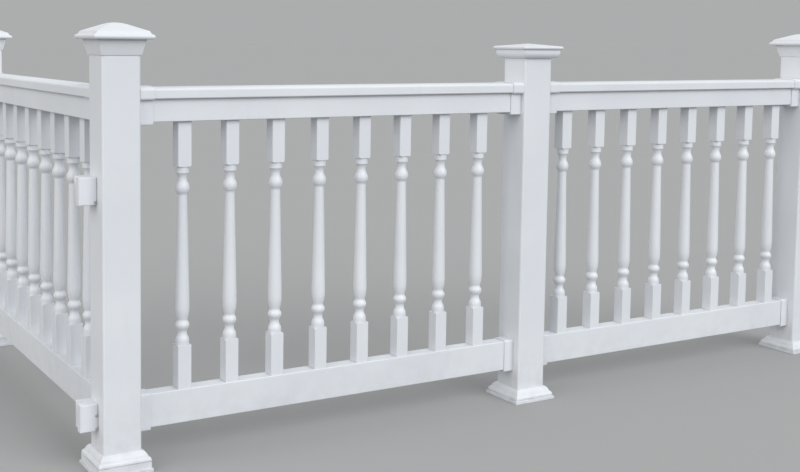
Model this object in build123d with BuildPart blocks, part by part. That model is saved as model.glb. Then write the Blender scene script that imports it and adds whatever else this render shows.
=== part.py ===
from build123d import *

import os
from collections import namedtuple
from math import sqrt

# Turned-baluster vinyl fence: two bays in front, a corner, and one bay that returns to the back.
# Millimetres, +Z up. The origin is the middle of the corner post's foot. The front runs along +X
# and the return runs along +Y, away from whoever stands in front of the fence.

# Posts
POST_WIDTH = 101.6
POST_WALL = 4.0
POST_CORNER = 6.0
POST_TOP = 1088.0
DOMED_POSTS = ("corner", "right", "back")
CORE_GAP = 2.35
CORE_EDGE = 2.0

# Bays, each end space measured from a post's face to the centre of the nearest baluster
FRONT_ONE_END_SPACE = 131.85
FRONT_TWO_END_SPACE = 97.5
RETURN_END_SPACE = 158.25

# Rails
DECK_GAP = 97.0
RAIL_HEIGHT = 88.9
RAIL_WALL = 2.9
RAIL_CORNER = 2.5
HANDRAIL_TOP = 978.0
HANDRAIL_WIDTH = 88.9
HANDRAIL_HEAD = 30.0
HANDRAIL_CROWN = 3.0
HANDRAIL_EDGE = 7.0
HANDRAIL_LIP_EDGE = 3.5
HANDRAIL_BODY = 63.5

# Balusters
BALUSTER_WIDTH = 38.1
BALUSTER_CORNER = 2.5
BALUSTER_PITCH = 136.5
BALUSTERS_PER_BAY = 8
BALUSTER_INSERT = 32.0
LOWER_BLOCK = 109.0
UPPER_BLOCK = 113.0

# Turned stretch of a baluster: radii, then the height of each stretch from the bottom up
FULL_RADIUS = 19.0
FLARE_RADIUS = 18.2
NECK_RADIUS = 12.2
GROOVE_RADIUS = 13.8
BELLY_TOP_RADIUS = 18.75
SHAFT_TOP_RADIUS = 13.0
RING_FOOT_RADIUS = 17.7
RING_RADIUS = 17.2
SHOULDER_HEIGHT = 5.0
FLARE_BAND_HEIGHT = 11.5
FLARE_HEIGHT = 21.0
BEAD_FOOT_HEIGHT = 20.0
BEAD_HEAD_HEIGHT = 14.5
BELLY_FOOT_HEIGHT = 32.0
BELLY_HEAD_HEIGHT = 25.0
BULB_FOOT_HEIGHT = 19.0
BULB_HEAD_HEIGHT = 26.0
UPPER_NECK_HEIGHT = 14.8
RING_HEIGHT = 17.0
BULB_FOOT_TURN = 0.35

# Rail end covers
TOP_COVER_LENGTH = 38.1
BOTTOM_COVER_LENGTH = 34.0
COVER_WALL = 2.5
COVER_FLOOR = 7.0
COVER_BACK = 3.0

# Square foot mouldings round the posts; their members hang from the upper edge
MOULDING_HEIGHTS = {"corner": 54.0, "middle": 38.0, "right": 38.0, "back": 54.0}
MOULDING_LIP = 1.5
UPPER_MEMBER_DROP = 15.0
UPPER_MEMBER_REACH = 12.5
UPPER_MEMBER_RADIUS = 24.0
LOWER_MEMBER_DROP = 26.0
LOWER_MEMBER_START = 14.5
LOWER_MEMBER_REACH = 19.5
LOWER_MEMBER_RADIUS = 14.0
GROOVE_DROP = 28.5
GROOVE_REACH = 17.0
BAND_REACH = 19.5
FOOT_REACH = 23.5
FOOT_LEDGE = 8.0

# Domed cap
DOME_ROOF = 9.0
DOME_FLARE_HEIGHT = 39.0
DOME_FLARE_REACH = 12.0
DOME_EAVE_REACH = 28.0
DOME_EAVE_RADIUS = 6.5
DOME_RISE = 42.0
DOME_CROWN_HALF = 26.0
DOME_CROWN_DROP = 5.0
DOME_BREAK_REACH = 17.0
DOME_BREAK_RISE = 21.0

# Flat cap
FLAT_COVE_HEIGHT = 18.0
FLAT_BAND_REACH = 17.0
FLAT_BAND_HEIGHT = 9.0
FLAT_NOSING_REACH = 24.0
FLAT_NOSING_HEIGHT = 10.0
FLAT_RISE = 8.0
FLAT_COVE_RADIUS = 17.5
CAP_SKIRT_LIP = 1.5

# Blocks on the corner post's outer side, each with an upright round saddle in its back edge
BLOCK_REACH = 47.0
BLOCK_DEPTH = 57.0
BLOCK_HEIGHT = 70.0
BLOCK_FRONT_SETBACK = 41.0
BLOCK_LEVELS = {"lower": 106.5, "upper": 684.0}
SADDLE_RADIUS = 18.0
SADDLE_SETBACK = 40.0
BLOCK_EDGE = 1.5

# Fits between pieces
SLIP = 0.3

Bay = namedtuple("Bay", "name start along opening")


def bay_opening(end_space):
    """Width of a bay between its posts' faces."""
    return BALUSTER_PITCH * (BALUSTERS_PER_BAY - 1) + 2 * end_space


def post_beyond(bay):
    """Centre of the post at the far end of a bay."""
    distance = bay.opening + POST_WIDTH
    return (bay.start[0] + bay.along[0] * distance, bay.start[1] + bay.along[1] * distance)


corner = (0.0, 0.0)
front_one = Bay("front_left", corner, (1, 0), bay_opening(FRONT_ONE_END_SPACE))
front_two = Bay("front_right", post_beyond(front_one), (1, 0), bay_opening(FRONT_TWO_END_SPACE))
side_return = Bay("return", corner, (0, 1), bay_opening(RETURN_END_SPACE))

posts = {
    "corner": corner,
    "middle": post_beyond(front_one),
    "right": post_beyond(front_two),
    "back": post_beyond(side_return),
}

half_post = POST_WIDTH / 2
mortise = BALUSTER_WIDTH + 2 * SLIP
rail_width = mortise + 2 * RAIL_WALL
handrail_underside = HANDRAIL_TOP - RAIL_HEIGHT
bottom_rail_top = DECK_GAP + RAIL_HEIGHT


def write_piece(piece, name):
    """Labels a finished piece and writes it."""
    piece.part.label = name
    export_step(piece.part, f"parts/{name}.step")


def ground_plane(at, height=0.0):
    """Level plane over a point of the plan."""
    return Plane(origin=(at[0], at[1], height))


def front_plane(at):
    """Upright plane through a point of the plan, seen from the front."""
    return Plane(origin=(at[0], at[1], 0), x_dir=(1, 0, 0), z_dir=(0, -1, 0))


def side_plane(at):
    """Upright plane through a point of the plan, seen from the side."""
    return Plane(origin=(at[0], at[1], 0), x_dir=(0, 1, 0), z_dir=(1, 0, 0))


def section_plane(bay, distance):
    """Plane square to a bay's run, at a distance from the centre of its first post."""
    east, north = bay.along
    origin = (bay.start[0] + east * distance, bay.start[1] + north * distance, 0)
    return Plane(origin=origin, x_dir=(-north, east, 0), z_dir=(east, north, 0))


def post_sleeve(at):
    """Hollow square sleeve with rounded corners."""
    inner = POST_WIDTH - 2 * POST_WALL
    with BuildPart() as sleeve:
        with BuildSketch(ground_plane(at)):
            RectangleRounded(POST_WIDTH, POST_WIDTH, POST_CORNER)
            RectangleRounded(inner, inner, POST_CORNER - POST_WALL, mode=Mode.SUBTRACT)
        extrude(amount=POST_TOP)
    return sleeve


def post_core(at):
    """Solid post that stands inside a sleeve and carries it."""
    width = POST_WIDTH - 2 * (POST_WALL + CORE_GAP)
    with BuildPart() as core:
        with BuildSketch(ground_plane(at)):
            Rectangle(width, width)
        extrude(amount=POST_TOP - SLIP)
        chamfer(core.edges().filter_by(Axis.Z), CORE_EDGE)
    return core


def square_form(at, half_outline, reach):
    """Form on a square plan with the same outline from the front and from the side."""
    with BuildPart() as form:
        with BuildSketch(front_plane(at)):
            with BuildLine():
                half_outline()
                mirror(about=Plane.YZ)
            make_face()
        extrude(amount=reach, both=True)
        with BuildSketch(side_plane(at)):
            with BuildLine():
                half_outline()
                mirror(about=Plane.YZ)
            make_face()
        extrude(amount=reach, both=True, mode=Mode.INTERSECT)
    return form


def domed_outline():
    """Half outline of the domed cap, from its apex to its skirt."""
    skirt = half_post + SLIP + CAP_SKIRT_LIP
    eave = POST_TOP + DOME_ROOF
    bottom = eave - DOME_FLARE_HEIGHT
    apex = eave + DOME_RISE
    tip = half_post + DOME_EAVE_REACH
    crown_edge = (DOME_CROWN_HALF, apex - DOME_CROWN_DROP)
    shoulder = (half_post + DOME_BREAK_REACH, eave + DOME_BREAK_RISE)
    eave_top = (tip - DOME_EAVE_RADIUS, eave + 2 * DOME_EAVE_RADIUS)
    TangentArc((0, apex), crown_edge, tangent=(1, 0))
    Polyline(crown_edge, shoulder, eave_top)
    ThreePointArc(eave_top, (tip, eave + DOME_EAVE_RADIUS), (tip - DOME_EAVE_RADIUS, eave))
    Polyline(
        (tip - DOME_EAVE_RADIUS, eave),
        (half_post + DOME_FLARE_REACH, eave),
        (skirt, bottom),
        (0, bottom),
    )


def flat_outline():
    """Half outline of the flat cap, from its apex to its skirt."""
    skirt = half_post + SLIP + CAP_SKIRT_LIP
    band = half_post + FLAT_BAND_REACH
    nosing = half_post + FLAT_NOSING_REACH
    nosing_radius = FLAT_NOSING_HEIGHT / 2
    eave = POST_TOP - FLAT_NOSING_HEIGHT
    bottom = eave - FLAT_BAND_HEIGHT - FLAT_COVE_HEIGHT
    nosing_edge = nosing - nosing_radius
    Line((0, POST_TOP + FLAT_RISE), (nosing_edge, POST_TOP))
    ThreePointArc((nosing_edge, POST_TOP), (nosing, eave + nosing_radius), (nosing_edge, eave))
    Polyline((nosing_edge, eave), (band, eave), (band, eave - FLAT_BAND_HEIGHT))
    RadiusArc((band, eave - FLAT_BAND_HEIGHT), (skirt, bottom), FLAT_COVE_RADIUS)
    Line((skirt, bottom), (0, bottom))


def post_cap(at, half_outline, reach):
    """Cap of either style, open underneath so that it slips over its sleeve."""
    with BuildPart() as cap:
        add(square_form(at, half_outline, half_post + reach).part)
        with BuildSketch(ground_plane(at)):
            RectangleRounded(POST_WIDTH + 2 * SLIP, POST_WIDTH + 2 * SLIP, POST_CORNER)
        extrude(amount=POST_TOP, mode=Mode.SUBTRACT)
    return cap


def foot_outline(height):
    """Half outline of a foot moulding of some height, from its upper edge to its foot."""
    edge = (half_post + SLIP + MOULDING_LIP, height)
    step = height - UPPER_MEMBER_DROP
    roll_foot = height - LOWER_MEMBER_DROP
    groove_foot = height - GROOVE_DROP
    groove = half_post + GROOVE_REACH
    band = half_post + BAND_REACH
    foot = half_post + FOOT_REACH
    upper_end = (half_post + UPPER_MEMBER_REACH, step)
    lower_start = (half_post + LOWER_MEMBER_START, step)
    lower_end = (half_post + LOWER_MEMBER_REACH, roll_foot)
    Line((0, height), edge)
    RadiusArc(edge, upper_end, UPPER_MEMBER_RADIUS)
    Line(upper_end, lower_start)
    RadiusArc(lower_start, lower_end, LOWER_MEMBER_RADIUS)
    Polyline(lower_end, (groove, roll_foot), (groove, groove_foot), (band, groove_foot), (band, FOOT_LEDGE))
    Polyline((band, FOOT_LEDGE), (foot, FOOT_LEDGE), (foot, 0), (0, 0))


def foot_moulding(at, height):
    """Square skirt round a post's foot."""

    def outline():
        foot_outline(height)

    with BuildPart() as moulding:
        add(square_form(at, outline, half_post + FOOT_REACH).part)
        with BuildSketch(ground_plane(at)):
            RectangleRounded(POST_WIDTH + 2 * SLIP, POST_WIDTH + 2 * SLIP, POST_CORNER)
        extrude(amount=POST_TOP, mode=Mode.SUBTRACT)
    return moulding


def ogee(start, end, turn=0.5):
    """Two arcs, upright at the start and the end, that meet at a share of the way between."""
    turning = (start[0] + (end[0] - start[0]) * turn, start[1] + (end[1] - start[1]) * turn)
    TangentArc(start, turning, tangent=(0, 1))
    TangentArc(end, turning, tangent=(0, -1))


def turned_baluster():
    """One baluster on the origin's axis, square at both ends and turned between them."""
    turning_radius = BALUSTER_WIDTH / sqrt(2)
    bottom = bottom_rail_top - BALUSTER_INSERT
    top = handrail_underside + BALUSTER_INSERT
    low = bottom_rail_top + LOWER_BLOCK
    flare_foot = low + SHOULDER_HEIGHT
    flare_top = flare_foot + FLARE_BAND_HEIGHT
    lower_neck = flare_top + FLARE_HEIGHT
    bead = lower_neck + BEAD_FOOT_HEIGHT
    groove = bead + BEAD_HEAD_HEIGHT
    belly = groove + BELLY_FOOT_HEIGHT
    belly_top = belly + BELLY_HEAD_HEIGHT
    high = handrail_underside - UPPER_BLOCK
    ring_top = high - SHOULDER_HEIGHT
    ring_foot = ring_top - RING_HEIGHT
    upper_neck = ring_foot - UPPER_NECK_HEIGHT
    bulb = upper_neck - BULB_HEAD_HEIGHT
    bulb_foot = bulb - BULB_FOOT_HEIGHT
    with BuildPart() as baluster:
        with BuildSketch(Plane.XY.offset(bottom)):
            RectangleRounded(BALUSTER_WIDTH, BALUSTER_WIDTH, BALUSTER_CORNER)
        extrude(amount=top - bottom)
        with BuildSketch(Plane.XZ):
            with BuildLine():
                Polyline((0, bottom), (turning_radius, bottom), (turning_radius, low))
                TangentArc((turning_radius, low), (FLARE_RADIUS, flare_foot), tangent=(0, 1))
                Line((FLARE_RADIUS, flare_foot), (FLARE_RADIUS, flare_top))
                ogee((FLARE_RADIUS, flare_top), (NECK_RADIUS, lower_neck))
                ogee((NECK_RADIUS, lower_neck), (FULL_RADIUS, bead))
                ogee((FULL_RADIUS, bead), (GROOVE_RADIUS, groove))
                TangentArc((FULL_RADIUS, belly), (GROOVE_RADIUS, groove), tangent=(0, -1))
                TangentArc((FULL_RADIUS, belly), (BELLY_TOP_RADIUS, belly_top), tangent=(0, 1))
                Line((BELLY_TOP_RADIUS, belly_top), (SHAFT_TOP_RADIUS, bulb_foot))
                ogee((SHAFT_TOP_RADIUS, bulb_foot), (FULL_RADIUS, bulb), BULB_FOOT_TURN)
                ogee((FULL_RADIUS, bulb), (NECK_RADIUS, upper_neck))
                TangentArc((NECK_RADIUS, upper_neck), (RING_FOOT_RADIUS, ring_foot), tangent=(0, 1))
                Line((RING_FOOT_RADIUS, ring_foot), (RING_RADIUS, ring_top))
                TangentArc((turning_radius, high), (RING_RADIUS, ring_top), tangent=(0, -1))
                Polyline((turning_radius, high), (turning_radius, top), (0, top), (0, bottom))
            make_face()
        revolve(axis=Axis.Z, mode=Mode.INTERSECT)
    return baluster


def baluster_centres(bay):
    """Plan points of a bay's balusters, evenly pitched about the middle of its opening."""
    middle = half_post + bay.opening / 2
    first = middle - BALUSTER_PITCH * (BALUSTERS_PER_BAY - 1) / 2
    distances = [first + BALUSTER_PITCH * step for step in range(BALUSTERS_PER_BAY)]
    return [(bay.start[0] + bay.along[0] * d, bay.start[1] + bay.along[1] * d) for d in distances]


def baluster_row(bay, baluster):
    """All the balusters of one bay."""
    with BuildPart() as row:
        with Locations(*baluster_centres(bay)):
            add(baluster.part)
    return row


def rail_head(grow):
    """Crowned head of the top rail with rounded edges, grown all round."""
    half = HANDRAIL_WIDTH / 2 + grow
    top = HANDRAIL_TOP + grow
    brow = top - HANDRAIL_CROWN
    lip = HANDRAIL_TOP - HANDRAIL_HEAD - grow
    with BuildSketch() as head:
        with BuildLine():
            ThreePointArc((-half, brow), (0, top), (half, brow))
            Polyline((half, brow), (half, lip), (-half, lip), (-half, brow))
        make_face()
        fillet(head.vertices().group_by(Axis.Y)[-1], HANDRAIL_EDGE + grow)
        fillet(head.vertices().group_by(Axis.Y)[0], HANDRAIL_LIP_EDGE + grow)
    return head.sketch


def top_rail_section(grow, floor):
    """T-shaped outline of the top rail, grown all round and deepened underneath."""
    head = rail_head(grow)
    head_middle = HANDRAIL_TOP - HANDRAIL_HEAD / 2
    body_height = head_middle - handrail_underside + floor
    with BuildSketch() as section:
        add(head)
        with Locations((0, head_middle - body_height / 2)):
            RectangleRounded(HANDRAIL_BODY + 2 * grow, body_height, RAIL_CORNER)
    return section.sketch


def bottom_rail_section(grow, floor):
    """Box-shaped outline of the bottom rail, grown all round and deepened underneath."""
    height = RAIL_HEIGHT + grow + floor
    with BuildSketch() as section:
        with Locations((0, bottom_rail_top + grow - height / 2)):
            RectangleRounded(rail_width + 2 * grow, height, RAIL_CORNER + grow)
    return section.sketch


def mortise_planes(bay, height):
    """Level planes over a bay's balusters."""
    return [ground_plane(centre, height) for centre in baluster_centres(bay)]


def top_rail(bay):
    """Hollow T-shaped rail with a web under its head."""
    outline = top_rail_section(0, 0)
    head_cavity = rail_head(-RAIL_WALL)
    body_cavity = RAIL_HEIGHT - HANDRAIL_HEAD - RAIL_WALL
    cavity_middle = handrail_underside + RAIL_WALL + body_cavity / 2
    with BuildPart() as rail:
        with BuildSketch(section_plane(bay, half_post + COVER_BACK + SLIP)):
            add(outline)
            add(head_cavity, mode=Mode.SUBTRACT)
            with Locations((0, cavity_middle)):
                Rectangle(HANDRAIL_BODY - 2 * RAIL_WALL, body_cavity, mode=Mode.SUBTRACT)
        extrude(amount=bay.opening - 2 * (COVER_BACK + SLIP))
        with BuildSketch(*mortise_planes(bay, handrail_underside)):
            Rectangle(mortise, mortise)
        extrude(amount=RAIL_WALL, mode=Mode.SUBTRACT)
    return rail


def bottom_rail(bay):
    """Hollow box-shaped rail."""
    outline = bottom_rail_section(0, 0)
    with BuildPart() as rail:
        with BuildSketch(section_plane(bay, half_post + COVER_BACK + SLIP)):
            add(outline)
            with Locations((0, bottom_rail_top - RAIL_HEIGHT / 2)):
                Rectangle(rail_width - 2 * RAIL_WALL, RAIL_HEIGHT - 2 * RAIL_WALL, mode=Mode.SUBTRACT)
        extrude(amount=bay.opening - 2 * (COVER_BACK + SLIP))
        with BuildSketch(*mortise_planes(bay, bottom_rail_top)):
            Rectangle(mortise, mortise)
        extrude(amount=-RAIL_WALL, mode=Mode.SUBTRACT)
    return rail


def end_cover(bay, section, length, distance, cavity_distance):
    """Cup over a rail's end, closed against the post."""
    outline = section(SLIP + COVER_WALL, COVER_FLOOR)
    cavity = section(SLIP, SLIP)
    with BuildPart() as cover:
        with BuildSketch(section_plane(bay, distance)):
            add(outline)
        extrude(amount=length)
        with BuildSketch(section_plane(bay, cavity_distance)):
            add(cavity)
        extrude(amount=length - COVER_BACK, mode=Mode.SUBTRACT)
    return cover


def side_block(level):
    """Block on the corner post's outer side, hollowed into a saddle at its outer back corner."""
    front = corner[1] - half_post + BLOCK_FRONT_SETBACK
    inner = corner[0] - half_post
    middle = (inner - BLOCK_REACH / 2, front + BLOCK_DEPTH / 2)
    with BuildPart() as block:
        with BuildSketch(ground_plane(middle, level)):
            Rectangle(BLOCK_REACH, BLOCK_DEPTH)
        extrude(amount=BLOCK_HEIGHT)
        chamfer(block.faces().sort_by(Axis.Y)[0].edges(), BLOCK_EDGE)
        with BuildSketch(ground_plane((inner - BLOCK_REACH, front + SADDLE_SETBACK), level)):
            Circle(SADDLE_RADIUS)
        extrude(amount=BLOCK_HEIGHT, mode=Mode.SUBTRACT)
    return block


os.makedirs("parts", exist_ok=True)

for name, at in posts.items():
    domed = name in DOMED_POSTS
    outline = domed_outline if domed else flat_outline
    reach = DOME_EAVE_REACH if domed else FLAT_NOSING_REACH
    write_piece(post_core(at), f"{name}_post_core")
    write_piece(post_sleeve(at), f"{name}_post_sleeve")
    write_piece(post_cap(at, outline, reach), f"{name}_post_cap")
    write_piece(foot_moulding(at, MOULDING_HEIGHTS[name]), f"{name}_post_foot_moulding")

baluster = turned_baluster()
rails = (
    ("top_rail", top_rail, top_rail_section, TOP_COVER_LENGTH),
    ("bottom_rail", bottom_rail, bottom_rail_section, BOTTOM_COVER_LENGTH),
)
for bay in (front_one, front_two, side_return):
    write_piece(baluster_row(bay, baluster), f"{bay.name}_balusters")
    near = half_post
    for name, rail, section, length in rails:
        far = half_post + bay.opening - length
        write_piece(rail(bay), f"{bay.name}_{name}")
        write_piece(end_cover(bay, section, length, near, near + COVER_BACK), f"{bay.name}_{name}_near_cover")
        write_piece(end_cover(bay, section, length, far, far), f"{bay.name}_{name}_far_cover")

for name, level in BLOCK_LEVELS.items():
    write_piece(side_block(level), f"side_block_{name}")
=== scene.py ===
import math
from collections import namedtuple

import bmesh
import bpy
from mathutils import Matrix, Vector


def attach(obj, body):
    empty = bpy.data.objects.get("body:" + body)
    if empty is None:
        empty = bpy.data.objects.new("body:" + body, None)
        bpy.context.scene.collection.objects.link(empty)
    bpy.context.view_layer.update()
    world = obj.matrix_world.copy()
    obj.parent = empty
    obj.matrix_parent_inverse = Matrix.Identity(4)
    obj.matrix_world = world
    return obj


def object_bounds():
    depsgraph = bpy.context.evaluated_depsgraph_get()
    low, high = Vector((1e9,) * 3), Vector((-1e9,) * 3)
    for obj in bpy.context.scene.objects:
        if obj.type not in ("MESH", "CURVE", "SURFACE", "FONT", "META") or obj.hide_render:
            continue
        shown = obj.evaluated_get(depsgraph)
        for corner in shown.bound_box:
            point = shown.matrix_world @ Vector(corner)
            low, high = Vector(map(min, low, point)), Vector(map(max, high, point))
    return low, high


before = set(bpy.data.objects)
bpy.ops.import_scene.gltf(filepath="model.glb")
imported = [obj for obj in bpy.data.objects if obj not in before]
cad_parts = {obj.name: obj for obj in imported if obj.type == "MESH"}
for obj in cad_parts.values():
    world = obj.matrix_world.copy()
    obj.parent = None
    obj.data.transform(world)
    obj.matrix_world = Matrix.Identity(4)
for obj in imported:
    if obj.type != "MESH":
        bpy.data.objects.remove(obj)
cad_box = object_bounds()

# Image frame of the photograph, in pixels
IMAGE_WIDTH = 800
IMAGE_HEIGHT = 472

# Camera, in metres and radians. The photograph's principal point is off the middle of its frame, so the
# camera has a shift.
CAMERA_PLACE = Vector((-0.9655, -2.7401, 1.0932))
CAMERA_YAW = 0.5012
CAMERA_PITCH = -0.0793
CAMERA_ROLL = 0.0087
FOCAL_PIXELS = 1144.2
PRINCIPAL_POINT = (301.8, 133.4)
SENSOR_WIDTH = 36.0

# Colours, linear
VINYL_WHITE = (0.765, 0.785, 0.815)
VINYL_SHADE = (0.715, 0.735, 0.77)
# Colour of dirt, which in crevices also stands for painted shade
DIRT_AND_PAINTED_SHADE = (0.36, 0.34, 0.31)
TIMBER_LIGHT = (0.52, 0.38, 0.22)
TIMBER_DARK = (0.30, 0.19, 0.10)
SCREW_METAL = (0.5, 0.52, 0.54)
TARNISH = (0.34, 0.31, 0.27)
FLOOR_COLOUR = (0.40, 0.40, 0.395)
BACKGROUND_COLOUR = (0.412, 0.423, 0.424)
# What the floor reflects onto the object, which is less than it shows, as with a dark deck
FLOOR_BOUNCE = (0.2, 0.2, 0.197)

# Noise fields: how much each axis is stretched, the scale per metre, and the fineness
Noise = namedtuple("Noise", "stretch scale detail roughness", defaults=(3.0, 0.55))
EVEN = (1, 1, 1)
TINT_CLOUDS = Noise(EVEN, 3.5)
RAIN_STREAKS = Noise((55, 55, 2.2), 1.0, detail=4.0)
STREAK_PATCHES = Noise(EVEN, 6.0)
SPECKS = Noise(EVEN, 420.0, detail=1.0)
GRIME_CLOUDS = Noise(EVEN, 28.0, detail=5.0)
GLOSS_CLOUDS = Noise(EVEN, 14.0, detail=4.0)
WOOD_GRAIN = Noise((60, 60, 1.5), 1.0, detail=6.0, roughness=0.6)
TARNISH_CLOUDS = Noise(EVEN, 700.0, detail=4.0)
FLOOR_CLOUDS = Noise(EVEN, 1.5)

# Noise levels at which an effect starts and at which it is full
TINT_SPAN = (0.35, 0.7)
STREAK_SPAN = (0.6, 0.85)
STREAK_PATCH_SPAN = (0.5, 0.7)
SPECK_SPAN = (0.72, 0.78)
CREVICE_GRIME_SPAN = (0.35, 0.6)
SPLASH_GRIME_SPAN = (0.4, 0.75)
GLOSS_SPAN = (0.3, 0.7)
GRAIN_SPAN = (0.35, 0.65)
TARNISH_SPAN = (0.52, 0.68)
TARNISH_DULL_SPAN = (0.4, 0.65)

# Crevices, darkened by grime and by painted shade from ambient occlusion: how far they look for a neighbouring
# surface in metres, and how open they are where the darkening starts and where it is full
CREVICE_REACH = 0.02
CREVICE_OPENNESS = (0.76, 0.3)
# Splashes: heights above the floor in metres at which they start and are full
SPLASH_HEIGHTS = (0.2, 0.0)

# Shares from where an effect starts to where it is full: of the effect, and of dirt in the colour, which in
# crevices is dirt and painted shade
WHOLE = (0.0, 1.0)
STREAK_DIRT = (0.0, 0.2)
SPECK_DIRT = (0.0, 0.35)
# In crevices the share is of grime and of painted shade together
CREVICE_GRIME_AND_PAINTED_SHADE = (0.0, 0.3)
SPLASH_DIRT = (0.0, 0.26)

# Finishes, each roughness from its lowest to its highest
VINYL_ROUGHNESS = (0.34, 0.5)
VINYL_SPECULAR = 0.5
VINYL_SUBSURFACE = 0.04
VINYL_SUBSURFACE_RADIUS = (0.004, 0.004, 0.003)
TIMBER_ROUGHNESS = 0.75
SCREW_ROUGHNESS = (0.35, 0.8)
SCREW_METALLIC = 0.4
# Rays that a crevice or a soft edge is found with
RAY_SAMPLES = 4

# Surface relief, in metres: the size of each feature and its depth
PEEL_SIZE = 0.0016
PEEL_DEPTH = 0.00003
DRAW_LINE_WIDTH = 0.0011
DRAW_LINE_DEPTH = 0.00003
DRAW_LINE_STRETCH = 0.02
WAVE_SIZE = 0.35
WAVE_DEPTH = 0.0012
EDGE_SOFTNESS = 0.0009
GRAIN_DEPTH = 0.0006
GRAIN_STRENGTH = 0.6
# Strengths of the draw lines and of the peel on extruded and on moulded pieces
Relief = namedtuple("Relief", "draw_lines peel")
EXTRUDED = Relief(draw_lines=0.5, peel=0.15)
MOULDED = Relief(draw_lines=0.0, peel=0.5)

# Pan-head screws in the side blocks' front faces, in metres: where each head sits
SCREW_X = -0.0556
SCREW_Y = -0.0098
SCREW_LEVELS = (0.1125, 0.1461, 0.6905)
SCREW_RADIUS = 0.0038
SCREW_HEIGHT = 0.0022
HEAD_SEGMENTS = 28
# Rings of a head, from its seat to its recess: shares of its radius and of its height
HEAD_PROFILE = ((1.0, -0.15), (1.0, 0.35), (0.97, 0.62), (0.88, 0.84), (0.74, 0.96), (0.62, 1.0))
# Cross recess, in metres, and the size of its floor as a share of its mouth
RECESS_REACH = 0.0019
RECESS_HALF_WIDTH = 0.00045
RECESS_DEPTH = 0.0013
RECESS_FLOOR = 0.7
# Angles of the recesses, in radians
FIRST_TURN = 0.35
TURN_STEP = 0.9

# Studio: floor in metres, world, and lamps with the direction that each one shines from
FLOOR_SIZE = 900
FLOOR_DROP = 0.0005
FLOOR_DIMMING = 0.98
SKY_COLOUR = (0.95, 0.975, 1.0)
SKY_STRENGTH = 0.55
Lamp = namedtuple("Lamp", "name towards strength colour softness")
LAMPS = (
    Lamp("key", (0.3, -1.0, 0.6), 1.75, (0.95, 0.975, 1.0), 0.8),
    Lamp("fill", (-1.0, -0.25, 0.4), 1.6, (1.0, 0.985, 0.97), 1.1),
    Lamp("back", (0.6, 1.0, 0.6), 0.45, (0.97, 0.98, 1.0), 1.4),
)

# Directions that draw lines run in
X, Y, Z = (1, 0, 0), (0, 1, 0), (0, 0, 1)

# Sockets of a Mix node that mixes colours
MIX_A, MIX_B, MIX_RESULT = 6, 7, 2


def new_material(name):
    """Material with its node tree and its Principled shader."""
    material = bpy.data.materials.new(name)
    material.use_nodes = True
    tree = material.node_tree
    return material, tree, tree.nodes["Principled BSDF"]


def link(tree, a, b):
    """Joins an output to an input."""
    tree.links.new(a, b)


def noise_of(tree, field):
    """Noise over the object's own coordinates."""
    place = tree.nodes.new("ShaderNodeTexCoord")
    mapping = tree.nodes.new("ShaderNodeMapping")
    mapping.inputs["Scale"].default_value = field.stretch
    noise = tree.nodes.new("ShaderNodeTexNoise")
    noise.inputs["Scale"].default_value = field.scale
    noise.inputs["Detail"].default_value = field.detail
    noise.inputs["Roughness"].default_value = field.roughness
    link(tree, place.outputs["Object"], mapping.inputs["Vector"])
    link(tree, mapping.outputs["Vector"], noise.inputs["Vector"])
    return noise.outputs["Fac"]


def ranged(tree, value, span, to=WHOLE):
    """Value mapped from one span to another, clamped."""
    node = tree.nodes.new("ShaderNodeMapRange")
    node.inputs["From Min"].default_value, node.inputs["From Max"].default_value = span
    node.inputs["To Min"].default_value, node.inputs["To Max"].default_value = to
    link(tree, value, node.inputs["Value"])
    return node.outputs["Result"]


def math_of(tree, operation, a, b):
    """Result of one calculation with two sockets."""
    node = tree.nodes.new("ShaderNodeMath")
    node.operation = operation
    link(tree, a, node.inputs[0])
    link(tree, b, node.inputs[1])
    return node.outputs["Value"]


def mixed(tree, share, a, b):
    """Colour mix; a and b are colours or sockets."""
    node = tree.nodes.new("ShaderNodeMix")
    node.data_type = "RGBA"
    link(tree, share, node.inputs["Factor"])
    for socket, value in ((node.inputs[MIX_A], a), (node.inputs[MIX_B], b)):
        if isinstance(value, tuple):
            socket.default_value = (*value, 1.0)
        else:
            link(tree, value, socket)
    return node.outputs[MIX_RESULT]


def height_of(tree):
    """Height above the floor, in metres."""
    place = tree.nodes.new("ShaderNodeTexCoord")
    parts = tree.nodes.new("ShaderNodeSeparateXYZ")
    link(tree, place.outputs["Object"], parts.inputs["Vector"])
    return parts.outputs["Z"]


def openness_of(tree):
    """1 on open surfaces, less in crevices, from ambient occlusion; it drives the painted shade in crevices.
    """
    crevice = tree.nodes.new("ShaderNodeAmbientOcclusion")
    crevice.inputs["Distance"].default_value = CREVICE_REACH
    crevice.samples = RAY_SAMPLES
    return crevice.outputs["AO"]


def soft_edges(tree):
    """Surface normal that rounds sharp edges."""
    bevel = tree.nodes.new("ShaderNodeBevel")
    bevel.inputs["Radius"].default_value = EDGE_SOFTNESS
    bevel.samples = RAY_SAMPLES
    return bevel.outputs["Normal"]


def embossed(tree, height, depth, strength, normal=None):
    """Surface normal with a relief added to it."""
    bump = tree.nodes.new("ShaderNodeBump")
    bump.inputs["Distance"].default_value = depth
    bump.inputs["Strength"].default_value = strength
    link(tree, height, bump.inputs["Height"])
    if normal is not None:
        link(tree, normal, bump.inputs["Normal"])
    return bump.outputs["Normal"]


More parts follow.
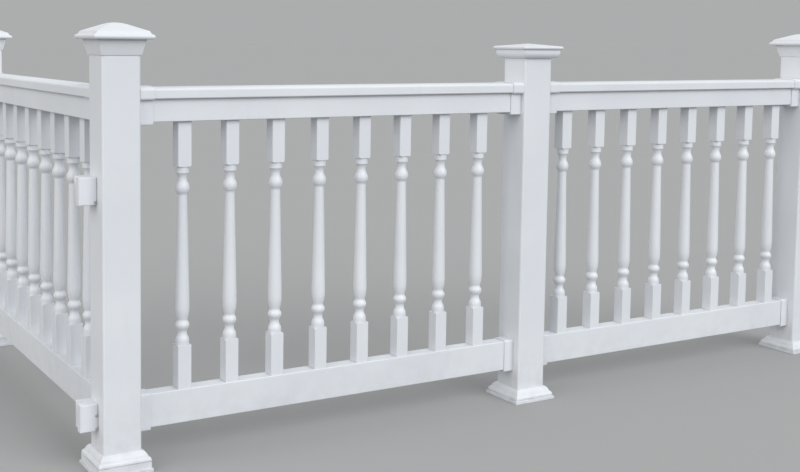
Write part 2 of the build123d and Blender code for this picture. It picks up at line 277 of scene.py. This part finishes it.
def vinyl(name, along, relief):
    """White vinyl: faint tint clouds, rain streaks, specks, grime low down, and grime with painted shade in
    crevices.
    """
    material, tree, shader = new_material(name)
    colour = mixed(tree, ranged(tree, noise_of(tree, TINT_CLOUDS), TINT_SPAN), VINYL_WHITE, VINYL_SHADE)
    streaks = ranged(tree, noise_of(tree, RAIN_STREAKS), STREAK_SPAN, STREAK_DIRT)
    patches = ranged(tree, noise_of(tree, STREAK_PATCHES), STREAK_PATCH_SPAN)
    specks = ranged(tree, noise_of(tree, SPECKS), SPECK_SPAN, SPECK_DIRT)
    grime = noise_of(tree, GRIME_CLOUDS)
    # Grime in crevices with painted shade: ambient occlusion darkens the colour where parts enclose each
    # other, masked by grime clouds
    crevice_grime_and_shade = ranged(tree, openness_of(tree), CREVICE_OPENNESS, CREVICE_GRIME_AND_PAINTED_SHADE)
    splashes = ranged(tree, height_of(tree), SPLASH_HEIGHTS, SPLASH_DIRT)
    stains = (
        math_of(tree, "MULTIPLY", streaks, patches),
        specks,
        math_of(tree, "MULTIPLY", crevice_grime_and_shade, ranged(tree, grime, CREVICE_GRIME_SPAN)),
        math_of(tree, "MULTIPLY", splashes, ranged(tree, grime, SPLASH_GRIME_SPAN)),
    )
    for share in stains:
        colour = mixed(tree, share, colour, DIRT_AND_PAINTED_SHADE)
    link(tree, colour, shader.inputs["Base Color"])
    gloss = ranged(tree, noise_of(tree, GLOSS_CLOUDS), GLOSS_SPAN, VINYL_ROUGHNESS)
    link(tree, gloss, shader.inputs["Roughness"])
    shader.inputs["Specular IOR Level"].default_value = VINYL_SPECULAR
    shader.inputs["Subsurface Weight"].default_value = VINYL_SUBSURFACE
    shader.inputs["Subsurface Radius"].default_value = VINYL_SUBSURFACE_RADIUS

    drawn = tuple(DRAW_LINE_STRETCH if axis else 1.0 for axis in along)
    layers = (
        (Noise(EVEN, 1 / WAVE_SIZE, detail=1.0), WAVE_DEPTH, 1.0),
        (Noise(EVEN, 1 / PEEL_SIZE, detail=2.0), PEEL_DEPTH, relief.peel),
        (Noise(drawn, 1 / DRAW_LINE_WIDTH, detail=2.0), DRAW_LINE_DEPTH, relief.draw_lines),
    )
    normal = soft_edges(tree)
    for field, depth, strength in layers:
        normal = embossed(tree, noise_of(tree, field), depth, strength, normal)
    link(tree, normal, shader.inputs["Normal"])
    return material


def timber(name):
    """Sawn pine with upright grain."""
    material, tree, shader = new_material(name)
    grain = noise_of(tree, WOOD_GRAIN)
    colour = mixed(tree, ranged(tree, grain, GRAIN_SPAN), TIMBER_LIGHT, TIMBER_DARK)
    link(tree, colour, shader.inputs["Base Color"])
    shader.inputs["Roughness"].default_value = TIMBER_ROUGHNESS
    link(tree, embossed(tree, grain, GRAIN_DEPTH, GRAIN_STRENGTH), shader.inputs["Normal"])
    return material


def screw_metal(name):
    """Dulled zinc with tarnished patches."""
    material, tree, shader = new_material(name)
    tarnish = noise_of(tree, TARNISH_CLOUDS)
    colour = mixed(tree, ranged(tree, tarnish, TARNISH_SPAN), SCREW_METAL, TARNISH)
    link(tree, colour, shader.inputs["Base Color"])
    link(tree, ranged(tree, tarnish, TARNISH_DULL_SPAN, SCREW_ROUGHNESS), shader.inputs["Roughness"])
    shader.inputs["Metallic"].default_value = SCREW_METALLIC
    return material


def circle(radius):
    """Points round a circle, as x and z."""
    angles = [2 * math.pi * step / HEAD_SEGMENTS for step in range(HEAD_SEGMENTS)]
    return [(radius * math.cos(angle), radius * math.sin(angle)) for angle in angles]


def cross(share, turn):
    """Outline of the cross recess at a share of its size, turned by an angle, as x and z."""
    w, r = RECESS_HALF_WIDTH, RECESS_REACH
    corners = [
        (r, -w), (r, w), (w, w), (w, r), (-w, r), (-w, w),
        (-r, w), (-r, -w), (-w, -w), (-w, -r), (w, -r), (w, -w),
    ]
    cos_turn, sin_turn = math.cos(turn), math.sin(turn)
    return [((x * cos_turn - z * sin_turn) * share, (x * sin_turn + z * cos_turn) * share) for x, z in corners]


def add_loop(bm, outline, rise):
    """Vertices of an outline that stands proud of the seat towards the front."""
    return [bm.verts.new((x, -rise, z)) for x, z in outline]


def join_loops(bm, first, second):
    """Band of faces between two loops of as many vertices."""
    for step in range(len(first)):
        after = (step + 1) % len(first)
        bm.faces.new((first[step], first[after], second[after], second[step]))


def edges_of(bm, loop):
    """Edges that follow a loop of vertices."""
    return [bm.edges.get((loop[step], loop[(step + 1) % len(loop)])) for step in range(len(loop))]


def screw_head(bm, seat, turn):
    """Pan head that faces the front, with a cross recess turned by an angle."""
    rings = [add_loop(bm, circle(SCREW_RADIUS * share), SCREW_HEIGHT * rise) for share, rise in HEAD_PROFILE]
    for low, high in zip(rings, rings[1:]):
        join_loops(bm, low, high)
    mouth = add_loop(bm, cross(1.0, turn), SCREW_HEIGHT)
    floor = add_loop(bm, cross(RECESS_FLOOR, turn), SCREW_HEIGHT - RECESS_DEPTH)
    join_loops(bm, mouth, floor)
    bm.faces.new(floor)
    bmesh.ops.triangle_fill(bm, edges=edges_of(bm, rings[-1]) + edges_of(bm, mouth), use_beauty=True)
    made = [vert for loop in rings + [mouth, floor] for vert in loop]
    bmesh.ops.translate(bm, verts=made, vec=seat)


def add_screws():
    """Screws that hold the side blocks."""
    bm = bmesh.new()
    for number, level in enumerate(SCREW_LEVELS):
        screw_head(bm, (SCREW_X, SCREW_Y, level), FIRST_TURN + TURN_STEP * number)
    bmesh.ops.recalc_face_normals(bm, faces=bm.faces)
    mesh = bpy.data.meshes.new("block_screws")
    bm.to_mesh(mesh)
    bm.free()
    screws = bpy.data.objects.new("block_screws", mesh)
    mesh.materials.append(screw_metal("screw_metal"))
    bpy.context.scene.collection.objects.link(screws)
    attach(screws, "root")


def dress_nodes():
    """Gives every node of the frame its material."""
    upright = vinyl("vinyl_upright", Z, EXTRUDED)
    front = vinyl("vinyl_front_rail", X, EXTRUDED)
    side = vinyl("vinyl_return_rail", Y, EXTRUDED)
    moulded = vinyl("vinyl_moulded", Z, MOULDED)
    wood = timber("sawn_pine")
    for name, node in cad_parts.items():
        if name.endswith("_core"):
            material = wood
        elif name.endswith(("_cover", "_cap", "_moulding")) or name.startswith("side_block"):
            material = moulded
        elif name.endswith("_rail"):
            material = side if name.startswith("return") else front
        else:
            material = upright
        node.data.materials.clear()
        node.data.materials.append(material)


def aim_camera():
    """Camera at the photograph's viewing angle."""
    cos_pitch = math.cos(CAMERA_PITCH)
    forward = Vector(
        (math.sin(CAMERA_YAW) * cos_pitch, math.cos(CAMERA_YAW) * cos_pitch, math.sin(CAMERA_PITCH))
    )
    level = Vector((math.cos(CAMERA_YAW), -math.sin(CAMERA_YAW), 0))
    upward = level.cross(forward)
    right = level * math.cos(CAMERA_ROLL) + upward * math.sin(CAMERA_ROLL)
    up = -level * math.sin(CAMERA_ROLL) + upward * math.cos(CAMERA_ROLL)
    data = bpy.data.cameras.new("camera")
    data.sensor_width = SENSOR_WIDTH
    data.sensor_fit = "HORIZONTAL"
    data.lens = FOCAL_PIXELS * SENSOR_WIDTH / IMAGE_WIDTH
    data.shift_x = (IMAGE_WIDTH / 2 - PRINCIPAL_POINT[0]) / IMAGE_WIDTH
    data.shift_y = (PRINCIPAL_POINT[1] - IMAGE_HEIGHT / 2) / IMAGE_WIDTH
    camera = bpy.data.objects.new("camera", data)
    turn = Matrix((right, up, -forward)).transposed().to_4x4()
    camera.matrix_world = Matrix.Translation(CAMERA_PLACE) @ turn
    bpy.context.scene.collection.objects.link(camera)
    bpy.context.scene.camera = camera


def add_lamp(lamp):
    """Distant soft lamp that shines from a direction."""
    data = bpy.data.lights.new(lamp.name, "SUN")
    data.energy = lamp.strength
    data.color = lamp.colour
    data.angle = lamp.softness
    sun = bpy.data.objects.new(lamp.name, data)
    sun.rotation_mode = "QUATERNION"
    sun.rotation_quaternion = Vector(lamp.towards).to_track_quat("Z", "Y")
    bpy.context.scene.collection.objects.link(sun)


def show(tree, seen, lighting, output):
    """Gives one shader to the rays that see the studio, and another to the rays that light the object."""
    rays = tree.nodes.new("ShaderNodeLightPath")
    sees = rays.outputs["Is Camera Ray"]
    for kind in ("Is Glossy Ray", "Is Transmission Ray"):
        sees = math_of(tree, "MAXIMUM", sees, rays.outputs[kind])
    choice = tree.nodes.new("ShaderNodeMixShader")
    link(tree, sees, choice.inputs["Fac"])
    link(tree, lighting, choice.inputs[1])
    link(tree, seen, choice.inputs[2])
    link(tree, choice.outputs["Shader"], tree.nodes[output].inputs["Surface"])


def lay_floor():
    """Pale floor just under the fence, which keeps its shadow."""
    low, high = cad_box
    middle = (low + high) / 2
    material, tree, shader = new_material("floor")
    dim = tuple(FLOOR_DIMMING * channel for channel in FLOOR_COLOUR)
    link(tree, mixed(tree, noise_of(tree, FLOOR_CLOUDS), FLOOR_COLOUR, dim), shader.inputs["Base Color"])
    shader.inputs["Roughness"].default_value = 1.0
    shader.inputs["Specular IOR Level"].default_value = 0.0
    bounce = tree.nodes.new("ShaderNodeBsdfDiffuse")
    bounce.inputs["Color"].default_value = (*FLOOR_BOUNCE, 1.0)
    show(tree, shader.outputs["BSDF"], bounce.outputs["BSDF"], "Material Output")
    bpy.ops.mesh.primitive_plane_add(size=FLOOR_SIZE, location=(middle.x, middle.y, low.z - FLOOR_DROP))
    floor = bpy.context.object
    floor.name = "floor"
    floor.data.materials.append(material)


def light_studio():
    """World with a soft sky for light and a pale background, and the lamps."""
    world = bpy.data.worlds.new("studio")
    bpy.context.scene.world = world
    world.use_nodes = True
    tree = world.node_tree
    sky = tree.nodes["Background"]
    sky.inputs["Color"].default_value = (*SKY_COLOUR, 1.0)
    sky.inputs["Strength"].default_value = SKY_STRENGTH
    background = tree.nodes.new("ShaderNodeBackground")
    background.inputs["Color"].default_value = (*BACKGROUND_COLOUR, 1.0)
    background.inputs["Strength"].default_value = 1.0
    show(tree, background.outputs["Background"], sky.outputs["Background"], "World Output")
    for lamp in LAMPS:
        add_lamp(lamp)
    bpy.context.scene.view_settings.view_transform = "Standard"


dress_nodes()
add_screws()
aim_camera()
lay_floor()
light_studio()
